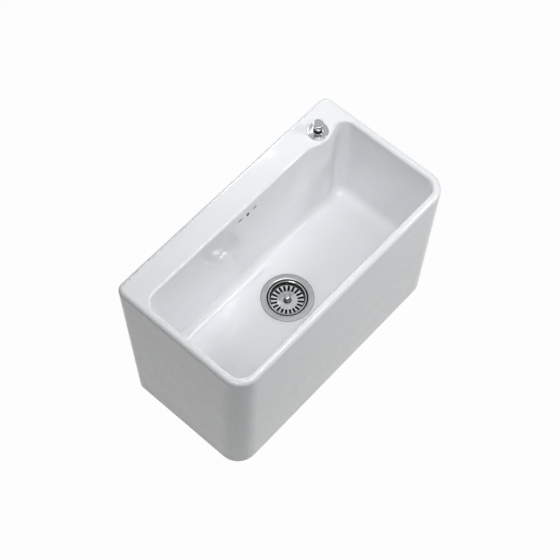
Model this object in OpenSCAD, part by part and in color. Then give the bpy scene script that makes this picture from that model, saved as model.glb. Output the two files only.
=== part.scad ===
// Ceramic mop sink with a knob-operated lift basket.
// Millimetres. X runs along the sink, Y from the front to the wall side, Z up.
// The origin is on the floor, under the middle of the top outline.

/* [Ceramic body] */
// Length over the rim
sink_l = 620; // [560:1:700]
// Depth over the rim, front to back
sink_w = 335; // [320:1:380]
// Height from the floor to the rim
sink_h = 405; // [395:1:450]
// How far the front and back faces lean in at the floor
face_lean = 16; // [8:1:20]
// Outer corner radius at the front
corner_front = 46; // [40:1:50]
// Outer corner radius at the back
corner_rear = 20; // [18:1:26]
// Width of the rim at the front and the sides
rim_w = 17.5; // [16:0.5:20]
// Width of the flat deck at the back
deck_w = 65; // [62:1:72]
// Thickness of the deck
deck_t = 15; // [13:1:16]
// Thickness of the apron and the back wall of the bowl
wall_t = 14; // [12:0.5:15]
// Roundness of the outer edge of the rim
rim_round_out = 9; // [6:0.5:10]
// Roundness of the inner edge of the rim
rim_round_in = 6; // [4:0.5:7]

/* [Bowl] */
// Depth of the bowl at its outer floor
bowl_depth = 246; // [236:1:250]
// How far each bowl wall leans in at the floor
bowl_lean = 9; // [6:0.5:10]
// Corner radius of the bowl at the rim
bowl_corner = 28; // [27:1:32]
// Fillet between the bowl walls and the floor
floor_fillet = 18; // [14:1:18]
// Fall of the floor towards the drain
floor_fall = 3; // [2:0.5:4]
// Place of the drain, front to back
drain_y = -7.5; // [-12:0.5:-5]

/* [Overflow] */
// Distance of the overflow openings below the rim
overflow_drop = 29; // [27:1:32]
// Spacing of the overflow openings
overflow_pitch = 21; // [20:0.5:24]
// Length of each overflow slot
slot_l = 12; // [10:0.5:13]
// Height of each overflow slot
slot_h = 4; // [3:0.5:5]

/* [Strainer] */
// Diameter of the steel drain flange
flange_d = 114; // [110:1:116]
// Diameter of the strainer well
well_d = 86.6; // [85:0.2:87]
// Slots in the basket plate
basket_slots = 20; // [16:1:22]
// Rise of the basket between shut and open
lift = 8; // [6:0.5:8]

/* [Knob] */
// Place of the knob along the sink
knob_x = 229.5; // [215:0.5:235]
// Place of the knob, front to back
knob_y = 116.5; // [116:0.5:118]
// Diameter of the knob cap
cap_d = 22.4; // [21:0.2:23]
// Height of the knob cap
cap_h = 12.5; // [11:0.5:12.5]
// Diameter of the round cover plate
cover_d = 44.4; // [42:0.2:45]
// Travel of the knob, up is open
travel = 12; // [9:0.5:12]

/* [Hidden] */
$fn = 64;
eps = 0.01;

// Ceramic body
half_l = sink_l / 2;
half_w = sink_w / 2;
lean_top = sink_h - rim_round_out - 6;
lean_a = atan(face_lean / lean_top);
floor_z = sink_h - bowl_depth;
drain_z = floor_z - floor_fall;
under_z = drain_z - 15;
deck_under = sink_h - deck_t;
bowl_hx = half_l - rim_w;
bowl_front = -half_w + rim_w;
bowl_rear = half_w - deck_w;
bowl_a = atan(bowl_lean / bowl_depth);

// Knob boss in the back wall, a wide round
boss_reach = 27.5;
boss_r = 66;
pocket_r = 15.5;
pocket_low = 250;
deck_hole_r = 11;

// Opening in the back for the plumbing
access_w = 300;
access_low = 70;
access_high = 300;
access_round = 25;

// Overflow
over_z = sink_h - overflow_drop;
hood_w = 70;
hood_d = 20;
hood_h = 36;
hood_t = 2.5;
wall_back_y = bowl_rear - bowl_lean * overflow_drop / bowl_depth + wall_t - 1;
seal_t = 1.3;
hood_y = wall_back_y + 0.6 + seal_t;
spigot_y = hood_y + hood_d / 2 + 0.5;
hose_r = 12;
hose_bore = 10;
hose_bend = 30;
port_z = 118;
port_y = 70;
hood_low = over_z - hood_h * 0.66;

// Strainer and drain body, heights of their faces
gasket_t = 1;
sheet_t = 1.5;
flange_r = flange_d / 2;
well_r = well_d / 2;
flange_low = drain_z + gasket_t;
flange_top = flange_low + sheet_t;
seat_z = drain_z - 36;
seat_r = 27;
bowl_low = drain_z - 47.5;
body_flange_low = under_z - 7;
body_floor = drain_z - 56;
throat_low = 66;
stub_low = 42;
throat_r = 27;
stub_r = 23.9;
stub_bore = 20.4;
pipe_r = 20;
pipe_neck_r = 19.7;
pipe_low = 4;
pipe_free_high = 33;
pipe_high = 58;
drain_hole_r = 45;

// Lift mechanism, drawn with the basket raised
pin_r = 3;
pin_low = 89;
pin_high = drain_z - 32;
inner_arm = 16;
outer_arm = 24;
rock_a = 14.3;
rock_x = -inner_arm;
rock_z = 82;
crank_y = drain_y + 41;
tip_x = rock_x + outer_arm * sin(rock_a);
tip_z = rock_z - outer_arm * cos(rock_a);
ferrule_x = 14;
ferrule_l = 28;
wire_r = 0.8;

// Basket
plate_z = drain_z - 11;
rim_z = drain_z + 1.5;
basket_r = 41;
slot_w = 4;
slot_from = 24.3;
slot_to = 33.2;
button_h = 17;
button_r = 7.5;

// Knob
cap_low = sink_h + 16.5;
stem_r = 6.5;
stem_low = sink_h - 28;
sleeve_r = 9;
sleeve_bore = 6.9;
sleeve_low = sink_h - 52;
top_ferrule_low = sleeve_low - 30;

// Route of the control cable, from the knob to the drain
cable_r = 2.5;
cable_sides = 8;
cable_steps = 6;
cable_points = [
    [knob_x, knob_y, top_ferrule_low],
    [knob_x, knob_y, 305],
    [230, 118, 270],
    [230, 122, 220],
    [228, 120, 170],
    [215, 112, 120],
    [185, 90, 85],
    [145, 60, 66],
    [100, 41, tip_z],
    [70, crank_y, tip_z],
    [ferrule_x + ferrule_l, crank_y, tip_z]];

module ring(r_out, r_in, low, high) {
    translate([0, 0, low])
        difference() {
            cylinder(r = r_out, h = high - low);
            translate([0, 0, -1])
                cylinder(r = r_in, h = high - low + 2);
        }
}

module hex_ring(flat, r_in, low, high) {
    translate([0, 0, low])
        difference() {
            cylinder(r = flat / 2 / cos(30), h = high - low, $fn = 6);
            translate([0, 0, -1])
                cylinder(r = r_in, h = high - low + 2);
        }
}

// Rounded block standing on z = low, with its own radius at the front and the back
module rounded_plan(hx, front, rear, r_front, r_rear, low, high) {
    translate([0, 0, low])
        linear_extrude(high - low)
            union() {
                translate([-hx, front + r_front])
                    square([2 * hx, rear - front - r_front - r_rear]);
                translate([r_front - hx, front])
                    square([2 * (hx - r_front), r_front + 1]);
                translate([r_rear - hx, rear - r_rear - 1])
                    square([2 * (hx - r_rear), r_rear + 1]);
                for (s = [-1, 1]) {
                    translate([s * (hx - r_front), front + r_front])
                        circle(r = r_front);
                    translate([s * (hx - r_rear), rear - r_rear])
                        circle(r = r_rear);
                }
            }
}

// Points of an arc about (x, y), from angle a0 to a1
function arc(x, y, r, a0, a1, steps = 6) =
    [for (i = [0 : steps])
        let (a = a0 + (a1 - a0) * i / steps) [x + r * cos(a), y + r * sin(a)]];

// Apron form: its front and back faces lean in towards the floor
module apron_form(inset, low, high) {
    reach = 2 * sink_h;
    intersection() {
        translate([0, -half_w + inset, lean_top])
            rotate([lean_a, 0, 0])
                rounded_plan(half_l - inset, 0, 2 * sink_w, corner_front - inset, 5, -reach, reach);
        translate([0, half_w - inset, lean_top])
            rotate([-lean_a, 0, 0])
                rounded_plan(half_l - inset, -2 * sink_w, 0, 5, corner_rear - inset, -reach, reach);
        translate([-sink_l, -sink_w, low])
            cube([2 * sink_l, 2 * sink_w, high - low]);
    }
}

module both_sides() {
    children();
    mirror([1, 0])
        children();
}

// Half section of the upright block out to r, its top edge rounded
module rim_section(r) {
    polygon(concat(
        [[0, 0], [r, 0]],
        arc(r - rim_round_out, sink_h - rim_round_out, rim_round_out, 0, 90),
        [[0, sink_h]]));
}

// Upright block with the outline of the rim
module rim_block() {
    span_y = sink_w - corner_rear - corner_front;
    translate([0, half_w - corner_rear, 0])
        rotate([90, 0, 0])
            linear_extrude(span_y)
                both_sides()
                    rim_section(half_l);
    translate([-half_l + corner_front, -half_w + corner_front, 0])
        rotate([90, 0, 90])
            linear_extrude(sink_l - 2 * corner_front)
                mirror([1, 0])
                    rim_section(corner_front);
    translate([-half_l + corner_rear, half_w - corner_rear, 0])
        rotate([90, 0, 90])
            linear_extrude(sink_l - 2 * corner_rear)
                rim_section(corner_rear);
    for (s = [0, 1]) {
        mirror([s, 0, 0])
            translate([half_l - corner_front, -half_w + corner_front, 0])
                rotate([0, 0, -90])
                    rotate_extrude(angle = 90)
                        rim_section(corner_front);
        mirror([s, 0, 0])
            translate([half_l - corner_rear, half_w - corner_rear, 0])
                rotate_extrude(angle = 90)
                    rim_section(corner_rear);
    }
}

// Section of the bowl space out to r: floor, fillet, leaning wall and flared lip
module bowl_section(r) {
    lip_z = sink_h - rim_round_in;
    wall_u = r - bowl_lean * (lip_z - floor_z - floor_fillet) / (lip_z - floor_z);
    polygon(concat(
        [[0, floor_z]],
        arc(wall_u - floor_fillet / cos(bowl_a), floor_z + floor_fillet, floor_fillet, -90, -bowl_a),
        arc(r + rim_round_in, lip_z, rim_round_in, 180, 90),
        [[r + rim_round_in, sink_h + 1], [0, sink_h + 1]]));
}

// Space of the bowl: four quarter turns, four straight sides and the core
module bowl_space() {
    cx = bowl_hx - bowl_corner;
    front = bowl_front + bowl_corner;
    rear = bowl_rear - bowl_corner;
    translate([-cx, front, floor_z])
        cube([2 * cx, rear - front, bowl_depth + 1]);
    translate([-cx, rear, 0])
        rotate([90, 0, 90])
            linear_extrude(2 * cx)
                bowl_section(bowl_corner);
    translate([cx, front, 0])
        rotate([90, 0, -90])
            linear_extrude(2 * cx)
                bowl_section(bowl_corner);
    for (s = [0, 1])
        mirror([s, 0, 0]) {
            translate([cx, rear, 0])
                rotate([90, 0, 0])
                    linear_extrude(rear - front)
                        bowl_section(bowl_corner);
            translate([cx, rear, 0])
                rotate_extrude(angle = 90)
                    bowl_section(bowl_corner);
            translate([cx, front, 0])
                rotate([0, 0, -90])
                    rotate_extrude(angle = 90)
                        bowl_section(bowl_corner);
        }
}

// Boss in the back wall that carries the knob, rounded wide so that it runs into the corner
module knob_boss() {
    translate([knob_x, knob_y - boss_reach + boss_r, 0])
        rotate_extrude()
            difference() {
                translate([0, floor_z - 5])
                    square([boss_r, bowl_depth + 5]);
                translate([boss_r - rim_round_in, sink_h - rim_round_in])
                    difference() {
                        square(rim_round_in + 1);
                        circle(r = rim_round_in);
                    }
            }
}

// Space under the floor and behind the bowl
module under_space() {
    back = bowl_rear + wall_t - 1;
    intersection() {
        apron_form(wall_t, -1, deck_under);
        union() {
            translate([-sink_l, -sink_w, -2])
                cube([2 * sink_l, 2 * sink_w, under_z + 2]);
            translate([-sink_l, 0, 0])
                rotate([90, 0, 90])
                    linear_extrude(2 * sink_l)
                        polygon([
                            [back, sink_h],
                            [back - bowl_lean * (sink_h - under_z + 5) / bowl_depth, under_z - 5],
                            [half_w * 2, under_z - 5],
                            [half_w * 2, sink_h]]);
        }
    }
    translate([knob_x, knob_y, pocket_low])
        cylinder(r = pocket_r, h = deck_under - pocket_low);
}

module access_opening() {
    translate([0, half_w - 45, 0])
        rotate([-90, 0, 0])
            linear_extrude(60)
                for (s = [-1, 1]) {
                    translate([-access_w / 2 + (s + 1) * access_round / 2, -access_high + (1 - s) * access_round / 2])
                        square([access_w - (s + 1) * access_round, access_high - access_low - (1 - s) * access_round]);
                    for (z = [access_low + access_round, access_high - access_round])
                        translate([s * (access_w / 2 - access_round), -z])
                            circle(r = access_round);
                }
}

module overflow_slots() {
    for (i = [-1, 1])
        translate([i * overflow_pitch, bowl_rear - 10, over_z])
            rotate([-90, 0, 0])
                linear_extrude(40) {
                    square([slot_l - slot_h, slot_h], center = true);
                    for (s = [-1, 1])
                        translate([s * (slot_l - slot_h) / 2, 0])
                            circle(d = slot_h);
                }
    translate([0, bowl_rear - 10, over_z])
        rotate([-90, 0, 0])
            cylinder(d = 5, h = 40);
}

module basin() {
    color("whitesmoke")
        difference() {
            union() {
                difference() {
                    intersection() {
                        apron_form(0, 0, sink_h);
                        rim_block();
                    }
                    bowl_space();
                }
                intersection() {
                    knob_boss();
                    translate([-half_l + 5, 0, floor_z - 5])
                        cube([sink_l - 10, half_w - 10, bowl_depth + 5]);
                }
            }
            under_space();
            access_opening();
            overflow_slots();
            translate([0, drain_y, drain_z])
                cylinder(r1 = flange_r + 2, r2 = flange_r + 50, h = floor_fall + eps);
            translate([0, drain_y, under_z - 5])
                cylinder(r = drain_hole_r, h = 30);
            translate([knob_x, knob_y, deck_under - 5])
                cylinder(r = deck_hole_r, h = 40);
        }
}

// Plastic hood behind the overflow openings, with its spigot down
module overflow_hood() {
    color("dimgray")
        difference() {
            union() {
                translate([-hood_w / 2, hood_y, hood_low])
                    cube([hood_w, hood_d, hood_h]);
                translate([0, spigot_y, hood_low - 30])
                    cylinder(r = hose_bore - 0.3, h = 31);
            }
            translate([-hood_w / 2 + hood_t, hood_y - 1, hood_low + hood_t])
                cube([hood_w - 2 * hood_t, hood_d + 1 - hood_t, hood_h - 2 * hood_t]);
            translate([0, spigot_y, hood_low - 31])
                cylinder(r = hose_bore - 2.3, h = 40);
        }
    color("dimgray")
        translate([0, hood_y, over_z])
            rotate([-90, 0, 0])
                ring(4.5, 1.8, 0, hood_d - 1);
}

module overflow_gasket() {
    color("black")
        translate([0, hood_y - seal_t, hood_low + hood_h / 2])
            difference() {
                translate([-hood_w / 2, 0, -hood_h / 2])
                    cube([hood_w, seal_t, hood_h]);
                translate([-hood_w / 2 + 5, -1, -hood_h / 2 + 5])
                    cube([hood_w - 10, seal_t + 2, hood_h - 10]);
            }
}

module overflow_screw() {
    head_y = bowl_rear - bowl_lean * overflow_drop / bowl_depth - 2.2;
    color("silver")
        translate([0, head_y, over_z])
            rotate([-90, 0, 0])
                difference() {
                    union() {
                        cylinder(d = 8, h = 2);
                        cylinder(r = 1.75, h = wall_t + 17);
                    }
                    translate([0, 0, -0.1])
                        linear_extrude(1.1) {
                            square([5.5, 1.1], center = true);
                            square([1.1, 5.5], center = true);
                        }
                }
}

// Ribbed overflow hose: down behind the bowl, round one bend, to the drain port
module overflow_hose() {
    top = hood_low - 4;
    bend_z = port_z + hose_bend;
    rib = 6;
    cuff = 24;
    ribs = floor((top - bend_z - 2 * cuff) / rib);
    wave = [for (i = [0 : ribs - 1], k = [0, 1])
        [hose_r + (k == 0 ? -1.2 : 0), bend_z + cuff + (i + k / 2) * rib]];
    color("gray") {
        translate([0, spigot_y, 0])
            rotate_extrude()
                polygon(concat(
                    [[hose_bore, bend_z], [hose_r, bend_z]],
                    wave,
                    [[hose_r, top - cuff], [hose_r, top], [hose_bore, top]]));
        translate([0, spigot_y - hose_bend, bend_z])
            rotate([0, 90, 0])
                rotate_extrude(angle = 90)
                    translate([hose_bend, 0])
                        difference() {
                            circle(r = hose_r);
                            circle(r = hose_bore);
                        }
        translate([0, drain_y + port_y - 20, port_z])
            rotate([-90, 0, 0])
                ring(hose_r, hose_bore, 0, spigot_y - hose_bend - drain_y - port_y + 20);
    }
}

module hose_clips() {
    color("silver") {
        translate([0, spigot_y, 0])
            ring(hose_r + 1.2, hose_r + 0.02, hood_low - 18, hood_low - 10);
        translate([0, drain_y + port_y - 14, port_z])
            rotate([-90, 0, 0])
                ring(hose_r + 1.2, hose_r + 0.02, 0, 8);
    }
}

module flange_gasket() {
    color("black")
        translate([0, drain_y, 0])
            ring(flange_r - 2, drain_hole_r + 1, drain_z, flange_low);
}

// Pressed steel strainer bowl with its rolled flange and valve seat
module strainer_bowl() {
    color("silver")
        translate([0, drain_y, 0])
            difference() {
                rotate_extrude()
                    polygon([
                        [5, bowl_low],
                        [seat_r + sheet_t, bowl_low],
                        [seat_r + sheet_t, seat_z - sheet_t],
                        [well_r, seat_z - sheet_t],
                        [well_r, flange_low],
                        [flange_r - 1, flange_low],
                        [flange_r, flange_low + 0.4],
                        [flange_r - 1, flange_top],
                        [well_r + 4, flange_top],
                        [well_r, flange_top - 0.6],
                        [well_r - sheet_t, flange_top - 3],
                        [well_r - sheet_t, seat_z],
                        [seat_r, seat_z],
                        [seat_r, bowl_low + sheet_t],
                        [5, bowl_low + sheet_t]]);
                for (i = [0 : 7])
                    rotate([0, 0, i * 45])
                        translate([17, 0, bowl_low - 1])
                            cylinder(r = 4.5, h = 5);
            }
}

module body_gasket() {
    color("black")
        translate([0, drain_y, 0])
            ring(53, drain_hole_r + 1, under_z - 3, under_z);
}

// Plastic drain body: cup, throat, threaded stub, overflow port and rocker neck
module drain_body() {
    cup_r = 48;
    color("dimgray")
        difference() {
            union() {
                translate([0, drain_y, 0])
                    rotate_extrude()
                        polygon([
                            [0, stub_low],
                            [stub_r, stub_low],
                            [stub_r, throat_low],
                            [throat_r, throat_low],
                            [throat_r, body_floor - 4],
                            [cup_r, body_floor],
                            [cup_r, body_flange_low],
                            [55, body_flange_low],
                            [55, under_z - 3],
                            [0, under_z - 3]]);
                translate([0, drain_y + 40, port_z])
                    rotate([-90, 0, 0])
                        cylinder(r = hose_bore - 0.3, h = port_y - 42);
                translate([rock_x, drain_y + 18, rock_z])
                    rotate([-90, 0, 0])
                        cylinder(r = 8, h = 12);
                translate([ferrule_x + 4, drain_y + 12, throat_low])
                    cube([8, crank_y - drain_y - 5, 12]);
                translate([ferrule_x + 4, crank_y - 7, tip_z - 7])
                    cube([8, 14, throat_low + 12 - tip_z + 7]);
            }
            translate([0, drain_y, 0])
                difference() {
                    rotate_extrude()
                        polygon([
                            [0, stub_low - 1],
                            [stub_bore, stub_low - 1],
                            [stub_bore, throat_low],
                            [throat_r - 3.5, throat_low + 4],
                            [throat_r - 3.5, body_floor - 2],
                            [cup_r - 3.5, body_floor + 2],
                            [cup_r - 3.5, under_z],
                            [0, under_z]]);
                    translate([0, 0, body_floor - 8])
                        cylinder(r = 10, h = bowl_low - body_floor + 8);
                    for (i = [0 : 2])
                        rotate([0, 0, 30 + i * 120])
                            translate([0, -2, body_floor - 4])
                                cube([cup_r - 2, 4, bowl_low - body_floor + 4]);
                }
            translate([0, drain_y, body_floor - 9])
                cylinder(r = 6, h = 30);
            translate([0, drain_y + 35, port_z])
                rotate([-90, 0, 0])
                    cylinder(r = hose_bore - 2.3, h = port_y);
            translate([rock_x, drain_y + 5, rock_z])
                rotate([-90, 0, 0])
                    cylinder(r = 3.2, h = 40);
            translate([ferrule_x, crank_y, tip_z])
                rotate([0, 90, 0])
                    cylinder(r = 4.05, h = 20);
        }
}

module guide_bolt() {
    low = body_floor - 8;
    high = bowl_low + sheet_t;
    color("silver")
        translate([0, drain_y, 0])
            difference() {
                union() {
                    translate([0, 0, low])
                        cylinder(r = 5.95, h = bowl_low - low);
                    translate([0, 0, bowl_low - 0.5])
                        cylinder(r = 4.9, h = 3);
                    translate([0, 0, high])
                        cylinder(r = 9, h = 3);
                }
                translate([0, 0, low - 1])
                    cylinder(r = 3.3, h = 40);
            }
}

module tail_nut() {
    color("dimgray")
        translate([0, drain_y, 0])
            difference() {
                union() {
                    ring(29, stub_r + 0.05, stub_low - 4, stub_low + 17);
                    ring(29, pipe_r + 0.6, stub_low - 8, stub_low - 4);
                }
                for (i = [0 : 11])
                    rotate([0, 0, i * 30])
                        translate([30, 0, stub_low - 9])
                            cylinder(r = 2.5, h = 30);
            }
}

module tail_washer() {
    color("black")
        translate([0, drain_y, 0])
            ring(stub_r - 0.3, pipe_neck_r + 0.02, stub_low - 3.9, stub_low - 0.05);
}

// Waste pipe: its neck, inside the nut, is a little thinner than its free end
module tail_pipe() {
    color("gray")
        translate([0, drain_y, 0])
            union() {
                ring(pipe_r, pipe_r - 2, pipe_low, pipe_free_high);
                ring(pipe_neck_r, pipe_r - 2, pipe_free_high, pipe_high);
            }
}

// Perforated lift-out basket, drawn raised
module basket_cup() {
    plate_r = basket_r - 4;
    color("silver")
        translate([0, drain_y, 0])
            difference() {
                union() {
                    rotate_extrude()
                        polygon([
                            [0, plate_z - 1.2],
                            [plate_r, plate_z - 1.2],
                            [basket_r - 0.8, rim_z - 1],
                            [basket_r, rim_z],
                            [basket_r - 1.8, rim_z],
                            [plate_r - 0.8, plate_z],
                            [0, plate_z]]);
                    translate([0, 0, pin_high + 4])
                        cylinder(r = 6, h = plate_z - pin_high - 4.5);
                }
                for (i = [0 : basket_slots - 1])
                    rotate([0, 0, i * 360 / basket_slots])
                        translate([0, 0, plate_z - 3]) {
                            translate([slot_from, -slot_w / 2, 0])
                                cube([slot_to - slot_from, slot_w, 5]);
                            translate([slot_from, 0, 0])
                                cylinder(r = slot_w / 2, h = 5);
                            translate([slot_to, 0, 0])
                                cylinder(r = slot_w / 2, h = 5);
                        }
            }
}

// Mushroom handle in the middle of the basket
module basket_knob() {
    edge = 3;
    color("silver")
        translate([0, drain_y, plate_z])
            rotate_extrude() {
                square([9, 1.5]);
                square([3.5, button_h - 3]);
                difference() {
                    translate([0, button_h - 6])
                        square([button_r, 6]);
                    translate([button_r - edge, button_h - edge])
                        difference() {
                            square(edge + 1);
                            circle(r = edge);
                        }
                }
            }
}

module basket_seal() {
    low = seat_z + lift + 0.1;
    color("black")
        translate([0, drain_y, 0]) {
            ring(31, 6.05, low + 2, low + 5);
            ring(31, 26, low, low + 2);
        }
}

module basket_nut() {
    color("silver")
        translate([0, drain_y, 0])
            cylinder_nut();
}

module cylinder_nut() {
    translate([0, 0, pin_high + 0.3])
        cylinder(r = 9, h = 3.6, $fn = 6);
}

module lift_pin() {
    color("silver")
        translate([0, drain_y, pin_low])
            cylinder(r = pin_r, h = pin_high - pin_low);
}

// Rocker: shaft through the throat wall, arm under the pin, crank outside
module rocker() {
    color("silver")
        translate([rock_x, drain_y, rock_z])
            rotate([0, -rock_a, 0]) {
                rotate([-90, 0, 0])
                    translate([0, 0, -4])
                        cylinder(r = 3, h = crank_y - drain_y + 7);
                translate([0, -3, -2])
                    cube([inner_arm, 6, 4]);
                translate([inner_arm, 3, 0])
                    rotate([90, 0, 0])
                        cylinder(r = 2, h = 6);
                for (y = [crank_y - drain_y - 5, crank_y - drain_y + 2.6])
                    translate([0, y, 0])
                        rotate([-90, 0, 0])
                            difference() {
                                union() {
                                    cylinder(r = 6, h = 2.4);
                                    translate([-4, 0, 0])
                                        cube([8, outer_arm, 2.4]);
                                    translate([0, outer_arm, 0])
                                        cylinder(r = 4, h = 2.4);
                                }
                                translate([0, outer_arm, -1])
                                    cylinder(r = 1.9, h = 5);
                            }
            }
}

module rocker_gland() {
    color("black")
        translate([rock_x, drain_y + 30.1, rock_z])
            rotate([-90, 0, 0])
                ring(7, 3.05, 0, 4);
}

module cable_ferrule() {
    color("silver")
        translate([ferrule_x, crank_y, tip_z])
            rotate([0, 90, 0]) {
                ring(4, 1.6, 0, ferrule_l - 4);
                ring(4, 1.6, ferrule_l - 4, ferrule_l);
                hex_ring(11, 4, 1, 3.8);
                hex_ring(11, 4, 12.2, 15);
            }
}

// Pull wire at the drain end, drawn pulled home
module wire_end() {
    color("silver") {
        translate([tip_x, crank_y, tip_z])
            rotate([0, 90, 0])
                cylinder(r = wire_r, h = ferrule_x + ferrule_l - 3 - tip_x);
        translate([tip_x, crank_y - 2, tip_z])
            rotate([-90, 0, 0])
                cylinder(r = 2, h = 4);
    }
}

// Smooth curve through the cable points
function spot(i) = cable_points[max(0, min(len(cable_points) - 1, i))];
function blend(i, t) = 0.5 * (
    2 * spot(i)
    + (spot(i + 1) - spot(i - 1)) * t
    + (2 * spot(i - 1) - 5 * spot(i) + 4 * spot(i + 1) - spot(i + 2)) * t * t
    + (3 * spot(i) - spot(i - 1) - 3 * spot(i + 1) + spot(i + 2)) * t * t * t);
function unit(v) = v / norm(v);

module control_cable() {
    spans = len(cable_points) - 1;
    path = concat(
        [for (i = [0 : spans - 1], k = [0 : cable_steps - 1]) blend(i, k / cable_steps)],
        [cable_points[spans]]);
    last = len(path) - 1;
    ahead = [for (i = [0 : last]) unit(
        i == 0 ? [0, 0, -1] : i == last ? [-1, 0, 0] : path[i + 1] - path[i - 1])];
    side = [0, 1, 0];
    skin = [for (i = [0 : last], k = [0 : cable_sides - 1])
        let (u = unit(side - ahead[i] * (side * ahead[i])), v = cross(ahead[i], u))
        path[i] + cable_r * (u * cos(k * 360 / cable_sides) + v * sin(k * 360 / cable_sides))];
    color("dimgray")
        polyhedron(
            points = skin,
            faces = concat(
                [[for (k = [0 : cable_sides - 1]) k]],
                [for (i = [0 : last - 1], k = [0 : cable_sides - 1])
                    let (a = i * cable_sides + k, b = i * cable_sides + (k + 1) % cable_sides)
                    [a, a + cable_sides, b + cable_sides, b]],
                [[for (k = [cable_sides - 1 : -1 : 0]) last * cable_sides + k]]));
}

module sleeve_ferrule() {
    color("silver")
        translate([knob_x, knob_y, 0]) {
            ring(4, 1.6, top_ferrule_low, sleeve_low + 3);
            hex_ring(11, 4, sleeve_low - 4, sleeve_low - 0.1);
        }
}

module pull_wire() {
    color("silver")
        translate([knob_x, knob_y, top_ferrule_low + 16])
            cylinder(r = wire_r, h = stem_low - top_ferrule_low - 16);
}

module knob_sleeve() {
    color("goldenrod")
        translate([knob_x, knob_y, 0]) {
            ring(sleeve_r, sleeve_bore, sleeve_low + 3, sink_h + 2);
            ring(sleeve_r, 4.02, sleeve_low, sleeve_low + 3);
        }
}

module knob_backnut() {
    color("goldenrod")
        translate([knob_x, knob_y, 0])
            hex_ring(25, sleeve_r + 0.02, deck_under - 10, deck_under - 3.5);
}

module sleeve_washer() {
    color("black")
        translate([knob_x, knob_y, 0])
            ring(14, sleeve_r + 0.1, deck_under - 3.5, deck_under);
}

// Round chromed cover plate around the knob
module escutcheon() {
    r = cover_d / 2;
    color("silver")
        translate([knob_x, knob_y, sink_h])
            rotate_extrude()
                polygon([
                    [sleeve_r + 0.1, 0.8],
                    [r, 0.8],
                    [r, 1.6],
                    [r - 1.2, 2.6],
                    [r - 4, 3.4],
                    [sleeve_r + 2.4, 3.9],
                    [sleeve_r + 0.8, 3.6],
                    [sleeve_r + 0.8, 2.2],
                    [sleeve_r + 0.1, 2.2]]);
}

module escutcheon_seal() {
    color("black")
        translate([knob_x, knob_y, sink_h])
            ring(cover_d / 2 - 2, deck_hole_r + 0.5, 0, 0.8);
}

module knob_stem() {
    color("silver")
        translate([knob_x, knob_y, stem_low])
            cylinder(r = stem_r, h = cap_low - stem_low);
}

module knob_cap() {
    r = cap_d / 2;
    edge = 1.6;
    color("silver")
        translate([knob_x, knob_y, cap_low])
            rotate_extrude()
                difference() {
                    square([r, cap_h]);
                    translate([r - edge, cap_h - edge])
                        difference() {
                            square(edge + 1);
                            circle(r = edge);
                        }
                }
}

basin();
overflow_hood();
overflow_gasket();
overflow_screw();
overflow_hose();
hose_clips();
flange_gasket();
strainer_bowl();
body_gasket();
drain_body();
guide_bolt();
tail_nut();
tail_washer();
tail_pipe();
basket_cup();
basket_knob();
basket_seal();
basket_nut();
lift_pin();
rocker();
rocker_gland();
cable_ferrule();
wire_end();
control_cable();
sleeve_ferrule();
pull_wire();
knob_sleeve();
knob_backnut();
sleeve_washer();
escutcheon();
escutcheon_seal();
knob_stem();
knob_cap();
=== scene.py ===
import math
import bmesh
import bpy
from mathutils import Matrix, Vector


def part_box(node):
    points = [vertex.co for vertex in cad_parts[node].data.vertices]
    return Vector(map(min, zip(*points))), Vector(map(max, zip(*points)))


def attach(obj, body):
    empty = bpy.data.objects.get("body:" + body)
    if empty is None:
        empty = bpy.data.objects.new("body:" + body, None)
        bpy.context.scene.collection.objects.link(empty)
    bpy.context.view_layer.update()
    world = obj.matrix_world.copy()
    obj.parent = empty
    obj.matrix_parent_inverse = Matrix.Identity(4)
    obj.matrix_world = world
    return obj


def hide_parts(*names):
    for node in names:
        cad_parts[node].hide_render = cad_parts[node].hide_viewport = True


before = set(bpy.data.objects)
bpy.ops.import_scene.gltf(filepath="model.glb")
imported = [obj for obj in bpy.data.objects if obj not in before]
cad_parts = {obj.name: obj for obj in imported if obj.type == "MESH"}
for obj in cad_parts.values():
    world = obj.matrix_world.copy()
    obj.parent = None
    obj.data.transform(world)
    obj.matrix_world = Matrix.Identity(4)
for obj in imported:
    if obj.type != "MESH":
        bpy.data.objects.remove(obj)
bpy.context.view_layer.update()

# Camera: stands high at the sink's front left corner and looks down into the bowl,
# with a long lens, as the product picture was taken.
VIEW_TURN = math.radians(-48.34)
VIEW_HEIGHT = math.radians(61.22)
VIEW_ROLL = math.radians(0.34)
VIEW_PLACE = Vector((-1.1298, -0.9914, 2.9612))
VIEW_LENS = 96.8

camera_data = bpy.data.cameras.new("view")
camera_data.sensor_width = 36
camera_data.lens = VIEW_LENS
camera = bpy.data.objects.new("view", camera_data)
bpy.context.scene.collection.objects.link(camera)
camera.location = VIEW_PLACE
camera_back = Vector((
    math.sin(VIEW_TURN) * math.cos(VIEW_HEIGHT),
    -math.cos(VIEW_TURN) * math.cos(VIEW_HEIGHT),
    math.sin(VIEW_HEIGHT)))
camera_right = Vector((math.cos(VIEW_TURN), math.sin(VIEW_TURN), 0))
camera_up = camera_back.cross(camera_right)
camera.rotation_mode = "QUATERNION"
camera.rotation_quaternion = (
    Matrix((camera_right, camera_up, camera_back)).transposed() @ Matrix.Rotation(VIEW_ROLL, 3, "Z")
).to_quaternion()
bpy.context.scene.camera = camera
bpy.context.scene.view_settings.view_transform = "Standard"


# Studio light: soft lamps over the bowl, before the apron and at the left, a key lamp at the
# right and a small one close behind the deck. The surround is white, and shows in the glaze.
LAMP_AIM, LAMP_COLOUR = Vector((0, 0, 0.35)), (0.975, 0.988, 1)


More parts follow.
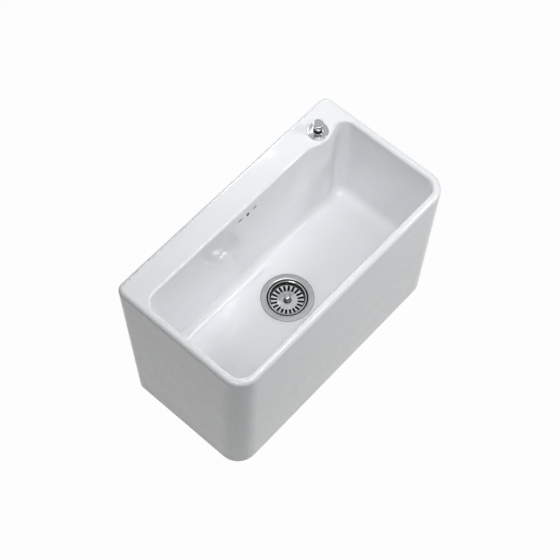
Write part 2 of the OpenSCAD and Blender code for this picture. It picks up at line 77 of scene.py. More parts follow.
def soft_lamp(name, place, side, power):
    data = bpy.data.lights.new(name, "AREA")
    data.shape = "RECTANGLE"
    data.size = data.size_y = side
    data.energy = power
    data.color = LAMP_COLOUR
    lamp = bpy.data.objects.new(name, data)
    bpy.context.scene.collection.objects.link(lamp)
    lamp.location = place
    lamp.rotation_mode = "QUATERNION"
    lamp.rotation_quaternion = (LAMP_AIM - Vector(place)).to_track_quat("-Z", "Y")


soft_lamp("key", (1.12, -1.02, 3.45), 0.4, 6)
soft_lamp("over_bowl", (0, -0.32, 1.5), 0.5, 4.9)
soft_lamp("over_apron", (0, -2, 3.05), 0.6, 12)
soft_lamp("over_left", (-1.81, -0.6, 3.12), 1.2, 22)
soft_lamp("right_front", (0.9, -0.9, 1.2), 0.4, 6.3)
soft_lamp("behind_deck", (0.3, 0.5, 0.8), 0.25, 1.45)

world = bpy.data.worlds.new("surround")
world.use_nodes = True
bpy.context.scene.world = world
world_nodes, world_links = world.node_tree.nodes, world.node_tree.links
world_nodes.clear()
world_out = world_nodes.new("ShaderNodeOutputWorld")
world_seen = world_nodes.new("ShaderNodeBackground")
world_seen.inputs["Color"].default_value = (0.965, 0.982, 1, 1)
world_fill = world_nodes.new("ShaderNodeBackground")
world_fill.inputs["Color"].default_value = (0.96, 0.98, 1, 1)
world_fill.inputs["Strength"].default_value = 0.01
world_mix = world_nodes.new("ShaderNodeMixShader")


def seen_share(nodes, links):
    """1 for rays from the camera and for rays that metal or glass sends on, else 0."""
    path = nodes.new("ShaderNodeLightPath")
    share = path.outputs["Is Camera Ray"]
    for kind in ("Is Glossy Ray", "Is Transmission Ray"):
        either = nodes.new("ShaderNodeMath")
        either.operation = "MAXIMUM"
        links.new(share, either.inputs[0])
        links.new(path.outputs[kind], either.inputs[1])
        share = either.outputs[0]
    return share


world_links.new(seen_share(world_nodes, world_links), world_mix.inputs["Fac"])
world_links.new(world_fill.outputs[0], world_mix.inputs[1])
world_links.new(world_seen.outputs[0], world_mix.inputs[2])
world_links.new(world_mix.outputs[0], world_out.inputs["Surface"])


# Floor: a plain white sweep that reads as the picture's white ground and still takes
# a faint shadow at the foot of the sink.
FLOOR_HALF, FLOOR_GLOW_SHARE = 8, 0.975

floor_mesh = bpy.data.meshes.new("floor")
bm = bmesh.new()
bmesh.ops.create_grid(bm, x_segments=1, y_segments=1, size=FLOOR_HALF)
bm.to_mesh(floor_mesh)
bm.free()
floor = bpy.data.objects.new("floor", floor_mesh)
bpy.context.scene.collection.objects.link(floor)
floor_paint = bpy.data.materials.new("white_ground")
floor_paint.use_nodes = True
floor_nodes, floor_links = floor_paint.node_tree.nodes, floor_paint.node_tree.links
floor_nodes.clear()
floor_out = floor_nodes.new("ShaderNodeOutputMaterial")
floor_base = floor_nodes.new("ShaderNodeBsdfDiffuse")
floor_base.inputs["Color"].default_value = (0.5, 0.5, 0.5, 1)
floor_glow = floor_nodes.new("ShaderNodeEmission")
floor_glow.inputs["Color"].default_value = (1, 1, 1, 1)
floor_share = floor_nodes.new("ShaderNodeMath")
floor_share.operation = "MULTIPLY"
floor_share.inputs[1].default_value = FLOOR_GLOW_SHARE
floor_mix = floor_nodes.new("ShaderNodeMixShader")
floor_links.new(seen_share(floor_nodes, floor_links), floor_share.inputs[0])
floor_links.new(floor_share.outputs[0], floor_mix.inputs["Fac"])
floor_links.new(floor_base.outputs[0], floor_mix.inputs[1])
floor_links.new(floor_glow.outputs[0], floor_mix.inputs[2])
floor_links.new(floor_mix.outputs[0], floor_out.inputs["Surface"])
floor.data.materials.append(floor_paint)


# Basin: one slip-cast ceramic body, glazed white all over. Rim, apron, deck, bowl and
# knob boss run into each other with soft glazed edges; the foot and the inside are open.
LENGTH, DEPTH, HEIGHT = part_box("basin")[1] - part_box("basin")[0]
FACE_LEAN = 0.016
CORNER_FRONT, CORNER_REAR = 0.046, 0.020
RIM, DECK = 0.0175, 0.065
RIM_EDGE, LIP_EDGE, FOOT_EDGE, SHOULDER = 0.009, 0.006, 0.003, 0.006
BOWL_DEPTH, BOWL_LEAN, BOWL_CORNER = 0.246, 0.009, 0.028
FLOOR_FILLET, FLOOR_FALL = 0.020, 0.003
DRAIN = Vector((0, -0.0075, 0))
DRAIN_RECESS, DRAIN_DISH = 0.0595, 0.107
KNOB = (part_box("knob_cap")[0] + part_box("knob_cap")[1]) / 2
BOSS_REACH, BOSS_RADIUS, BOSS_BLEND = 0.0275, 0.066, 0.0035
WALL, FLOOR_WALL, BACK_WALL = 0.014, 0.015, 0.013
REAR_SPACE_FROM = 0.04
KNOB_POCKET, KNOB_HOLE, DRAIN_HOLE = 0.0155, 0.011, 0.045
ACCESS_HALF, ACCESS_LOW, ACCESS_HIGH, ACCESS_CORNER = 0.15, 0.07, 0.3, 0.025
COLUMNS_LONG, COLUMNS_SHORT, CORNER_STEPS, FLOOR_RINGS = 160, 44, 10, 12
LONG_EDGE = 0.1
half = Vector((LENGTH / 2, DEPTH / 2, 0))
lean_top = HEIGHT - RIM_EDGE - SHOULDER


def soften(bm, edges, width, steps):
    """Rounds the given edges."""
    bmesh.ops.bevel(bm, geom=edges, offset=width, offset_type="OFFSET", segments=steps,
                    profile=0.5, affect="EDGES", material=-1)


def rounded_loop(bm, low, high, radius_front, radius_rear, z):
    """Closed loop of edges: a rectangle with round corners and evenly divided sides."""
    older = set(bm.faces)
    corners = [bm.verts.new((x, y, z)) for x, y in (
        (low.x, low.y), (high.x, low.y), (high.x, high.y), (low.x, high.y))]
    bm.faces.new(corners)
    for pair, radius in ((corners[:2], radius_front), (corners[2:], radius_rear)):
        bmesh.ops.bevel(bm, geom=pair, offset=radius, offset_type="OFFSET", segments=CORNER_STEPS,
                        profile=0.5, affect="VERTICES", material=-1)
    plate = (set(bm.faces) - older).pop()
    for edge in [e for e in plate.edges if e.calc_length() > LONG_EDGE]:
        along_x = abs(edge.verts[0].co.x - edge.verts[1].co.x) > LONG_EDGE
        bmesh.ops.subdivide_edges(bm, edges=[edge], cuts=COLUMNS_LONG if along_x else COLUMNS_SHORT)
    loop = list(plate.edges)
    bmesh.ops.delete(bm, geom=[plate], context="FACES_ONLY")
    return loop


def loop_verts(loop):
    return list({v for e in loop for v in e.verts})


def drawn_out(bm, loop, move, narrow=(0, 0), middle=(0, 0)):
    """Extrudes a loop of edges by move, and brings its sides in by narrow. Corners keep their shape."""
    made = bmesh.ops.extrude_edge_only(bm, edges=loop)["geom"]
    verts = [g for g in made if isinstance(g, bmesh.types.BMVert)]
    reach = [max(abs(v.co[i] - middle[i]) for v in verts) for i in (0, 1)]
    for vert in verts:
        for i in (0, 1):
            off = vert.co[i] - middle[i]
            corner = reach[i] - CORNER_FRONT
            share = off / corner if abs(off) < corner else math.copysign(1, off)
            vert.co[i] -= narrow[i] * share
    bmesh.ops.translate(bm, verts=verts, vec=move)
    ring = set(verts)
    return [g for g in made if isinstance(g, bmesh.types.BMEdge) and set(g.verts) <= ring]


def boss_front(x, wall):
    """Line of the bowl's back wall at x, where the wide round knob boss pushes it forward."""
    reach = BOSS_RADIUS ** 2 - (x - KNOB.x) ** 2
    if reach <= 0:
        return wall
    front = KNOB.y - BOSS_REACH + BOSS_RADIUS - math.sqrt(reach)
    return wall - BOSS_BLEND * math.log(1 + math.exp((wall - front) / BOSS_BLEND))


def crisp(bm, sharp=math.radians(32)):
    """Smooth faces, but for the sharp edges between them."""
    for face in bm.faces:
        face.smooth = True
    for edge in bm.edges:
        edge.smooth = len(edge.link_faces) == 2 and edge.calc_face_angle(0) < sharp


def as_object(bm, name):
    """Makes the mesh an object at the origin, smooth but for its sharp edges."""
    crisp(bm)
    mesh = bpy.data.meshes.new(name)
    bm.to_mesh(mesh)
    bm.free()
    made = bpy.data.objects.new(name, mesh)
    bpy.context.scene.collection.objects.link(made)
    return made


bowl_low = Vector((-half.x + RIM, -half.y + RIM, 0))
bowl_high = Vector((half.x - RIM, half.y - DECK, 0))
bowl_middle = (bowl_low + bowl_high) / 2
bowl_floor = HEIGHT - BOWL_DEPTH

bm = bmesh.new()
rim_loop = rounded_loop(bm, -half, half, CORNER_FRONT, CORNER_REAR, HEIGHT)
mouth = rounded_loop(bm, bowl_low, bowl_high, BOWL_CORNER, BOWL_CORNER, HEIGHT - RIM)
bmesh.ops.bridge_loops(bm, edges=rim_loop + mouth)
bmesh.ops.translate(bm, verts=loop_verts(mouth), vec=(0, 0, RIM))
shoulder = drawn_out(bm, rim_loop, (0, 0, lean_top - HEIGHT))
foot = drawn_out(bm, shoulder, (0, 0, -lean_top), narrow=(0, FACE_LEAN))
wall_foot = drawn_out(bm, mouth, (0, 0, -BOWL_DEPTH), (BOWL_LEAN, BOWL_LEAN), bowl_middle)
for vert in loop_verts(mouth) + loop_verts(wall_foot):
    if vert.co.y > bowl_middle.y:
        vert.co.y = boss_front(vert.co.x, vert.co.y)
bmesh.ops.contextual_create(bm, geom=foot)
bmesh.ops.contextual_create(bm, geom=wall_foot)
bmesh.ops.recalc_face_normals(bm, faces=bm.faces)
for edges, radius, steps in ((mouth, LIP_EDGE, 6), (rim_loop, RIM_EDGE, 8), (foot, FOOT_EDGE, 3),
                             (wall_foot, FLOOR_FILLET, 10)):
    soften(bm, edges, radius, steps)

# the floor falls to the drain, which sits in a shallow dish
plate = max((f for f in bm.faces if abs(f.calc_center_median().z - bowl_floor) < 1e-4),
            key=lambda f: f.calc_area())
plate_edge = list(plate.edges)
bmesh.ops.delete(bm, geom=[plate], context="FACES_ONLY")
drain_ring = bmesh.ops.create_circle(
    bm, segments=len(plate_edge), radius=DRAIN_RECESS,
    matrix=Matrix.Translation(DRAIN + Vector((0, 0, bowl_floor - FLOOR_FALL))))["verts"]
drain_edge = list({e for v in drain_ring for e in v.link_edges})
spokes = bmesh.ops.bridge_loops(bm, edges=plate_edge + drain_edge)["edges"]
made = bmesh.ops.subdivide_edges(bm, edges=spokes, cuts=FLOOR_RINGS, use_grid_fill=True)["geom_inner"]
for vert in (g for g in made if isinstance(g, bmesh.types.BMVert)):
    out = (vert.co.xy - DRAIN.xy).length
    rise = min(1, max(0, (out - DRAIN_RECESS) / (DRAIN_DISH - DRAIN_RECESS)))
    vert.co.z = bowl_floor - FLOOR_FALL * (1 - rise * rise * (3 - 2 * rise))
bmesh.ops.contextual_create(bm, geom=drain_edge)
bmesh.ops.recalc_face_normals(bm, faces=bm.faces)
basin = as_object(bm, "basin_glaze")


def block(bm, low, high, bevel=0, segments=6):
    """Box from corner to corner, its upright edges rounded."""
    low, high = Vector(low), Vector(high)
    made = bmesh.ops.create_cube(bm, size=1, matrix=Matrix.Translation((low + high) / 2)
                                 @ Matrix.Diagonal((*(high - low), 1)))
    if bevel:
        upright = {e for v in made["verts"] for e in v.link_edges
                   if abs(e.verts[0].co.z - e.verts[1].co.z) > 1e-6}
        soften(bm, list(upright), bevel, segments)


def rod(bm, radius, middle, length, segments=48):
    """Upright round bar."""
    return bmesh.ops.create_cone(bm, cap_ends=True, segments=segments, radius1=radius, radius2=radius,
                                 depth=length, matrix=Matrix.Translation(middle))["verts"]


def cut_away(piece, cutter_bm, name, paint=0, crossing=False):
    """Takes the cutter's solid out of the piece; the new faces take the paint's place number."""
    bmesh.ops.remove_doubles(cutter_bm, verts=cutter_bm.verts, dist=1e-6)
    bmesh.ops.recalc_face_normals(cutter_bm, faces=cutter_bm.faces)
    for face in cutter_bm.faces:
        face.material_index = paint
    cutter = as_object(cutter_bm, name)
    for thing in (piece, cutter):
        while len(thing.data.materials) < max(2, paint + 1):
            thing.data.materials.append(None)
    cut = piece.modifiers.new(name, "BOOLEAN")
    cut.operation = "DIFFERENCE"
    cut.solver = "EXACT"
    cut.use_self = crossing
    cut.object = cutter
    with bpy.context.temp_override(object=piece, active_object=piece, selected_objects=[piece]):
        bpy.ops.object.modifier_apply(modifier=name)
    bpy.data.objects.remove(cutter)
    cut_bm = bmesh.new()
    cut_bm.from_mesh(piece.data)
    crisp(cut_bm)
    cut_bm.to_mesh(piece.data)
    cut_bm.free()


# the open inside, under the floor and up behind the bowl, is left as raw clay
CLAY = 1
under = bowl_floor - FLOOR_FALL - FLOOR_WALL
deck_under = HEIGHT - FLOOR_WALL
back_of_bowl = bowl_high.y + BACK_WALL
lean_per_height = FACE_LEAN / lean_top
inner = Vector((half.x - WALL, half.y - WALL, 0))
bm = bmesh.new()
block(bm, (-inner.x, -inner.y, -0.01), (inner.x, inner.y, under), bevel=0.03)
for vert in bm.verts:
    vert.co.y *= 1 - (lean_top - vert.co.z) * lean_per_height / inner.y
cut_away(basin, bm, "under_space", CLAY)
bm = bmesh.new()
block(bm, (-inner.x, back_of_bowl, REAR_SPACE_FROM), (inner.x, inner.y, deck_under), bevel=0.005, segments=3)
for vert in bm.verts:
    if vert.co.y > (back_of_bowl + inner.y) / 2:
        vert.co.y -= (lean_top - vert.co.z) * lean_per_height
    else:
        vert.co.y -= (HEIGHT - vert.co.z) * BOWL_LEAN / BOWL_DEPTH
cut_away(basin, bm, "rear_space", CLAY)
bm = bmesh.new()
rod(bm, KNOB_POCKET, (KNOB.x, KNOB.y, deck_under - 0.07), 0.14)
cut_away(basin, bm, "knob_pocket", CLAY)
bm = bmesh.new()
rod(bm, KNOB_HOLE, (KNOB.x, KNOB.y, HEIGHT), 0.06)
cut_away(basin, bm, "knob_hole")
bm = bmesh.new()
block(bm, (-ACCESS_HALF, -ACCESS_HIGH, -0.03), (ACCESS_HALF, -ACCESS_LOW, 0.03), bevel=ACCESS_CORNER,
      segments=8)
bmesh.ops.rotate(bm, verts=bm.verts, cent=(0, 0, 0), matrix=Matrix.Rotation(math.radians(-90), 3, "X"))
bmesh.ops.translate(bm, verts=bm.verts, vec=(0, half.y - 0.01, 0))
cut_away(basin, bm, "access_opening")
bm = bmesh.new()
rod(bm, DRAIN_HOLE, DRAIN + Vector((0, 0, bowl_floor - 0.02)), 0.08, 96)
cut_away(basin, bm, "drain_hole")

# overflow: a slot each side of the screw; behind its thin lip it widens to a pocket, whose
# faces are coloured near-black as painted shade inside the openings
LINING = 2
OVERFLOW_DROP, OVERFLOW_PITCH = 0.029, 0.021
SLOT_LONG, SLOT_HIGH = 0.0115, 0.0046
SLOT_LIP, SLOT_START = 0.0006, 0.001
POCKET_STEP, POCKET_DROP, POCKET_DEEP = 0.0005, 0.014, 0.006
# steps of the way through the wall: how far in, and how far the lower half of the opening goes up
SLOT_WAY = ((SLOT_START + SLOT_LIP, 0), (POCKET_STEP, -POCKET_DROP), (POCKET_DEEP, 0),
            (POCKET_STEP, POCKET_DROP), (0.02, 0))
SCREW_WAY = ((0.03, 0),)
SCREW_HOLE = 0.0025
OVERFLOW_HALF, OVERFLOW_TALL = 0.03, 0.02
overflow_z = HEIGHT - OVERFLOW_DROP
overflow_wall = bowl_high.y - BOWL_LEAN * OVERFLOW_DROP / BOWL_DEPTH
# level cuts above and below the openings keep the shading of the wall round them even
LEVEL_CUTS = (-1, -0.7, 0.7, 1)
bm = bmesh.new()
bm.from_mesh(basin.data)
for offset in LEVEL_CUTS:
    near = [f for f in bm.faces if abs(f.calc_center_median().x) < 0.05
            and abs(f.calc_center_median().y - overflow_wall) < BOWL_LEAN and f.normal.y < -0.9]
    around = near + list({e for f in near for e in f.edges}) + list({v for f in near for v in f.verts})
    bmesh.ops.bisect_plane(bm, geom=around, plane_co=(0, 0, overflow_z + offset * SLOT_HIGH),
                           plane_no=(0, 0, 1), dist=1e-7)
bm.to_mesh(basin.data)
bm.free()
bm = bmesh.new()
for middle_x, way in ((-OVERFLOW_PITCH, SLOT_WAY), (0, SCREW_WAY), (OVERFLOW_PITCH, SLOT_WAY)):
    width = SLOT_HIGH / 2 if middle_x else SCREW_HOLE
    ring = bmesh.ops.create_circle(bm, segments=24, radius=width)["verts"]
    for vert in ring:
        if middle_x and abs(vert.co.x) > 1e-7:
            vert.co.x += math.copysign((SLOT_LONG - SLOT_HIGH) / 2, vert.co.x)
    bmesh.ops.rotate(bm, verts=ring, cent=(0, 0, 0), matrix=Matrix.Rotation(math.radians(90), 3, "X"))
    bmesh.ops.translate(bm, verts=ring, vec=(middle_x, overflow_wall - SLOT_START, overflow_z))
    loop = list({e for v in ring for e in v.link_edges})
    bmesh.ops.contextual_create(bm, geom=loop)
    for inwards, rise in way:
        loop = drawn_out(bm, loop, (0, inwards, 0))
        for vert in loop_verts(loop):
            if vert.co.z < overflow_z - 1e-5:
                vert.co.z += rise
    bmesh.ops.contextual_create(bm, geom=loop)
cut_away(basin, bm, "overflow_openings", LINING)

# the glaze runs round the edges of the overflow openings
bm = bmesh.new()
bm.from_mesh(basin.data)
openings = [e for e in bm.edges if len(e.link_faces) == 2 and e.calc_face_angle(0) > math.radians(50)
            and all(abs(v.co.z - overflow_z) < SLOT_HIGH and abs(v.co.x) < OVERFLOW_HALF
                    and v.co.y < overflow_wall + SLOT_LIP / 2 for v in e.verts)]
soften(bm, openings, SLOT_LIP * 0.7, 3)
for face in bm.faces:
    spot = face.calc_center_median()
    at_overflow = abs(spot.z - overflow_z) < OVERFLOW_TALL and abs(spot.x) < OVERFLOW_HALF
    if at_overflow and spot.y < overflow_wall + SLOT_LIP:
        face.material_index = 0
crisp(bm)
bm.to_mesh(basin.data)
bm.free()


def varied(paint, value, dark, light, rough, span):
    """Makes the colour and roughness of the paint follow a value; roughness changes over its span."""
    nodes, links = paint.node_tree.nodes, paint.node_tree.links
    shader = nodes["Principled BSDF"]
    tint = nodes.new("ShaderNodeValToRGB")
    tint.color_ramp.elements[0].position, tint.color_ramp.elements[1].position = 0.3, 0.7
    tint.color_ramp.elements[0].color, tint.color_ramp.elements[1].color = (*dark, 1), (*light, 1)
    polish = nodes.new("ShaderNodeMapRange")
    polish.inputs["From Min"].default_value, polish.inputs["From Max"].default_value = span
    polish.inputs["To Min"].default_value, polish.inputs["To Max"].default_value = rough
    links.new(value, tint.inputs["Fac"])
    links.new(tint.outputs["Color"], shader.inputs["Base Color"])
    links.new(value, polish.inputs["Value"])
    links.new(polish.outputs["Result"], shader.inputs["Roughness"])


def embossed(paint, value, relief):
    """Makes the height of the paint follow a value; relief is its strength and depth."""
    nodes, links = paint.node_tree.nodes, paint.node_tree.links
    bump = nodes.new("ShaderNodeBump")
    bump.inputs["Strength"].default_value, bump.inputs["Distance"].default_value = relief
    links.new(value, bump.inputs["Height"])
    links.new(bump.outputs["Normal"], nodes["Principled BSDF"].inputs["Normal"])


def surface(name, dark, light, grain, rough, metallic=0, relief=(0.1, 0.0005), stretch=(1, 1, 1), detail=3):
    """Material whose colour, roughness and height vary over a grain of so many specks to the metre."""
    paint = bpy.data.materials.new(name)
    paint.use_nodes = True
    nodes, links = paint.node_tree.nodes, paint.node_tree.links
    nodes["Principled BSDF"].inputs["Metallic"].default_value = metallic
    place = nodes.new("ShaderNodeTexCoord")
    stretched = nodes.new("ShaderNodeMapping")
    stretched.inputs["Scale"].default_value = stretch
    speck = nodes.new("ShaderNodeTexNoise")
    speck.inputs["Scale"].default_value = grain
    speck.inputs["Detail"].default_value = detail
    links.new(place.outputs["Object"], stretched.inputs["Vector"])
    links.new(stretched.outputs["Vector"], speck.inputs["Vector"])
    varied(paint, speck.outputs["Fac"], dark, light, rough, (0.3, 0.7))
    embossed(paint, speck.outputs["Fac"], relief)
    return paint


glaze = surface("white_glaze", (0.866, 0.875, 0.887), (0.886, 0.893, 0.902), 24, (0.05, 0.09),
                relief=(0.3, 0.004), stretch=(0.45, 1, 1))
raw_clay = surface("raw_clay", (0.60, 0.56, 0.50), (0.70, 0.66, 0.60), 160, (0.75, 0.9),
                   relief=(0.35, 0.0006), detail=6)
# painted shade: the overflow pockets are coloured near-black to stand for the shade inside them
lining = surface("slot_painted_shade", (0.03, 0.03, 0.032), (0.055, 0.055, 0.058), 500, (0.5, 0.65),
                 relief=(0.1, 0.0002))
for place, paint in enumerate((glaze, raw_clay, lining)):
    basin.data.materials[place] = paint
even = basin.modifiers.new("even_normals", "WEIGHTED_NORMAL")
even.keep_sharp = True
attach(basin, "sink")
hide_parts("basin")


# Overflow screw: a small stainless cross-head screw between the two overflow slots. It
# pulls the plastic hood behind the bowl against the ceramic.
def turned(bm, outline, middle, steps=64):
    """Turns an outline of (radius, height) points about the upright line through middle."""
    spots = [bm.verts.new((middle.x + radius, middle.y, height)) for radius, height in outline]
    lines = [bm.edges.new(pair) for pair in zip(spots, spots[1:])]
    if min(outline[0][0], outline[-1][0]) > 0:
        lines.append(bm.edges.new((spots[-1], spots[0])))
    bmesh.ops.spin(bm, geom=spots + lines, cent=middle, axis=(0, 0, 1), angle=2 * math.pi,
                   steps=steps, use_merge=True, use_duplicate=False)
    bmesh.ops.remove_doubles(bm, verts=bm.verts, dist=1e-6)
    bmesh.ops.recalc_face_normals(bm, faces=bm.faces)


def finish(piece, paint):
    """Gives the whole piece one finish."""
    piece.data.materials.clear()
    piece.data.materials.append(paint)


def millimetres(*outline):
    return [(radius / 1000, height / 1000) for radius, height in outline]


CROSS_LONG, CROSS_WIDE, CROSS_DEEP = 0.0052, 0.001, 0.0012
screw_face = Vector((0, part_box("overflow_screw")[0].y, overflow_z))
to_bowl = Matrix.Translation(screw_face) @ Matrix.Rotation(math.radians(90), 4, "X")
bm = bmesh.new()
turned(bm, millimetres((0, -31), (1.4, -31), (1.75, -30.4), (1.75, -2.1), (4, -2.1), (4, -1.5), (3.7, -0.9),
                       (2.9, -0.35), (1.6, -0.05), (0, 0)), Vector(), 40)
overflow_screw = as_object(bm, "overflow_screw_head")
bm = bmesh.new()
for size_x, size_y in ((CROSS_LONG, CROSS_WIDE), (CROSS_WIDE, CROSS_LONG)):
    block(bm, (-size_x / 2, -size_y / 2, -CROSS_DEEP), (size_x / 2, size_y / 2, 0.002))
cut_away(overflow_screw, bm, "cross", crossing=True)
overflow_screw.data.transform(to_bowl)
# painted shade: the head is coloured dark grey, far darker than its stainless steel, to stand for shade on it
screw_steel = surface("screw_steel", (0.12, 0.12, 0.122), (0.19, 0.19, 0.193), 900, (0.2, 0.32),
                      metallic=1, relief=(0.05, 0.0001))
finish(overflow_screw, screw_steel)
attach(overflow_screw, "sink")
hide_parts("overflow_screw")


# Overflow hose: a grey ribbed plastic hose. It runs from the hood down behind the bowl,
# round one bend and into the port of the drain body; plain cuffs at both ends take the clips.
HOSE_OUT, HOSE_WALL, HOSE_BEND, CUFF = 0.012, 0.0012, 0.030, 0.024
RIB_PITCH, RIB_DEEP = 0.003, 0.0013
# share of the pitch that each step of a rib takes, and how far the wall comes in on it
RIB_STEPS = ((0.2, RIB_DEEP), (0.3, 0), (0.2, -RIB_DEEP), (0.3, 0))
hose_low, hose_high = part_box("overflow_hose")
hose_middle = Vector((0, hose_high.y - HOSE_OUT, 0))
bend_height = hose_low.z + HOSE_OUT + HOSE_BEND
bm = bmesh.new()
ring = bmesh.ops.create_circle(bm, segments=40, radius=HOSE_OUT,
                               matrix=Matrix.Translation((0, hose_middle.y, hose_high.z)))["verts"]
ring_edges = list({e for v in ring for e in v.link_edges})


def hose_step(edges, move, centre, narrow=0):
    """Adds one length of hose wall and, with narrow, draws it in to the foot of a rib."""
    made = bmesh.ops.extrude_edge_only(bm, edges=edges)["geom"]
    verts = [g for g in made if isinstance(g, bmesh.types.BMVert)]
    bmesh.ops.translate(bm, verts=verts, vec=move)
    for vert in verts:
        vert.co += (centre - vert.co).normalized() * narrow
    return [g for g in made if isinstance(g, bmesh.types.BMEdge) and set(g.verts) <= set(verts)]


ring_edges = hose_step(ring_edges, (0, 0, -CUFF), Vector())
ribbed_length = hose_high.z - bend_height - 2 * CUFF
ribs = int(ribbed_length / RIB_PITCH)
pitch = ribbed_length / ribs
for rib in range(ribs):
    height = hose_high.z - CUFF - rib * pitch
    for share, narrow in RIB_STEPS:
        height -= share * pitch
        ring_edges = hose_step(ring_edges, (0, 0, -share * pitch), Vector((0, hose_middle.y, height)), narrow)
ring_edges = hose_step(ring_edges, (0, 0, -CUFF), Vector())
made = bmesh.ops.spin(bm, geom=ring_edges, cent=(0, hose_middle.y - HOSE_BEND, bend_height), axis=(1, 0, 0),
                      angle=math.radians(-90), steps=16, use_merge=False, use_duplicate=False)["geom_last"]
ring_edges = [g for g in made if isinstance(g, bmesh.types.BMEdge)]
hose_step(ring_edges, (0, hose_low.y - (hose_middle.y - HOSE_BEND), 0), Vector())
bmesh.ops.remove_doubles(bm, verts=bm.verts, dist=1e-6)
bmesh.ops.recalc_face_normals(bm, faces=bm.faces)
hose = as_object(bm, "ribbed_hose")
hose_plastic = surface("hose_plastic", (0.42, 0.43, 0.44), (0.48, 0.49, 0.50), 220, (0.42, 0.55),
                       relief=(0.08, 0.0003))
finish(hose, hose_plastic)
hose_wall = hose.modifiers.new("wall", "SOLIDIFY")
hose_wall.thickness, hose_wall.offset = HOSE_WALL, -1
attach(hose, "sink")
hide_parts("overflow_hose")


# Plumbing: hood, drain body and outlet nut are dark injection-moulded plastic with a fine
# spark-eroded texture, and the waste pipe is extruded in light grey. All seals are moulded
# rubber; the clips are thin steel bands, and the bolt, pin, basket nut and wire are steel too.
def dress(paint, *nodes):
    for node in nodes:
        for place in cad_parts[node].material_slots:
            place.material = paint


moulded = surface("moulded_plastic", (0.055, 0.057, 0.06), (0.085, 0.087, 0.09), 700, (0.38, 0.52),
                  relief=(0.2, 0.0002))
rubber = surface("black_rubber", (0.018, 0.018, 0.018), (0.035, 0.035, 0.035), 500, (0.6, 0.78),
                 relief=(0.15, 0.0002))
bright_steel = surface("bright_steel", (0.50, 0.50, 0.51), (0.60, 0.60, 0.61), 900, (0.18, 0.28),
                       metallic=1, relief=(0.05, 0.0001))
dress(moulded, "overflow_hood", "drain_body", "tail_nut")
dress(rubber, "overflow_gasket", "flange_gasket", "body_gasket", "tail_washer", "basket_seal", "rocker_gland",
      "escutcheon_seal", "sleeve_washer")
dress(bright_steel, "hose_clips", "guide_bolt", "lift_pin", "basket_nut", "wire_end", "pull_wire")
pipe_plastic = surface("pipe_plastic", (0.62, 0.63, 0.64), (0.70, 0.71, 0.71), 120, (0.35, 0.5),
                       relief=(0.06, 0.0003))
dress(pipe_plastic, "tail_pipe")


# Strainer bowl: pressed from stainless sheet, its wide flange brushed in rings. It sits in
# the drain hole on a rubber gasket and is clamped from below by the guide bolt.
def ringed_metal(name, middle, dark, light, rings, rough, relief=0.00004):
    """Metal finished on a lathe, with fine rings about the upright line through middle."""
    paint = bpy.data.materials.new(name)
    paint.use_nodes = True
    nodes, links = paint.node_tree.nodes, paint.node_tree.links
    nodes["Principled BSDF"].inputs["Metallic"].default_value = 1
    place = nodes.new("ShaderNodeTexCoord")
    centred = nodes.new("ShaderNodeMapping")
    centred.inputs["Location"].default_value = (-middle.x, -middle.y, 0)
    level = nodes.new("ShaderNodeVectorMath")
    level.operation = "MULTIPLY"
    level.inputs[1].default_value = (1, 1, 0)
    radius = nodes.new("ShaderNodeVectorMath")
    radius.operation = "LENGTH"
    ring_grain = nodes.new("ShaderNodeTexNoise")
    ring_grain.noise_dimensions = "1D"
    ring_grain.inputs["Scale"].default_value = rings
    ring_grain.inputs["Detail"].default_value = 3
    cloud = nodes.new("ShaderNodeTexNoise")
    cloud.inputs["Scale"].default_value = 60
    both = nodes.new("ShaderNodeMix")
    both.inputs["Factor"].default_value = 0.35
    links.new(place.outputs["Object"], centred.inputs["Vector"])
    links.new(centred.outputs["Vector"], level.inputs[0])
    links.new(level.outputs["Vector"], radius.inputs[0])
    links.new(radius.outputs["Value"], ring_grain.inputs["W"])
    links.new(place.outputs["Object"], cloud.inputs["Vector"])
    links.new(ring_grain.outputs["Fac"], both.inputs["A"])
    links.new(cloud.outputs["Fac"], both.inputs["B"])
    varied(paint, both.outputs["Result"], dark, light, rough, (0, 1))
    embossed(paint, ring_grain.outputs["Fac"], (0.3, relief))
    return paint


FLANGE_IN, FLANGE_OUT = 0.0443, 0.0564
WASTE_HOLES, WASTE_RING, WASTE_RADIUS, WASTE_HEIGHT = 8, 0.017, 0.0045, 0.109
bm = bmesh.new()
turned(bm, millimetres(
    (5, 108.5), (28, 108.5), (28.5, 109), (28.5, 118.5), (42.8, 118.5), (43.3, 119), (43.3, 156.6),
    (43.7, 157), (56.2, 157), (56.9, 157.25), (57, 157.7), (56.5, 158.25), (55, 158.5), (47.4, 158.5),
    (45.4, 158.3), (44, 157.6), (43.1, 156.3), (42.8, 154.6), (42.8, 147), (41.8, 144), (41.8, 121),
    (41, 120), (27.6, 120), (27, 119.4), (27, 110), (5, 110)), DRAIN, 128)
# painted shade: the pan's inside and the flange's outer edge are coloured near-black; only the flange is
# brushed steel
for face in bm.faces:
    spot = face.calc_center_median()
    face.material_index = 0 if FLANGE_IN < (spot - DRAIN).xy.length < FLANGE_OUT else 1
strainer = as_object(bm, "strainer_pan")
bm = bmesh.new()
for turn in range(WASTE_HOLES):
    spot = Vector((WASTE_RING, 0, WASTE_HEIGHT))
    spot.rotate(Matrix.Rotation(math.radians(360 / WASTE_HOLES * turn), 3, "Z"))
    rod(bm, WASTE_RADIUS, DRAIN + spot, 0.01, 24)
cut_away(strainer, bm, "waste_holes", 1)
brushed_steel = ringed_metal("brushed_steel", DRAIN, (0.35, 0.35, 0.348), (0.46, 0.46, 0.455), 1500,
                             (0.26, 0.38))
pickled_steel = ringed_metal("pickled_steel", DRAIN, (0.02, 0.02, 0.02), (0.05, 0.05, 0.05), 500,
                             (0.38, 0.55))
strainer.data.materials[0], strainer.data.materials[1] = brushed_steel, pickled_steel
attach(strainer, "sink")
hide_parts("strainer_bowl")


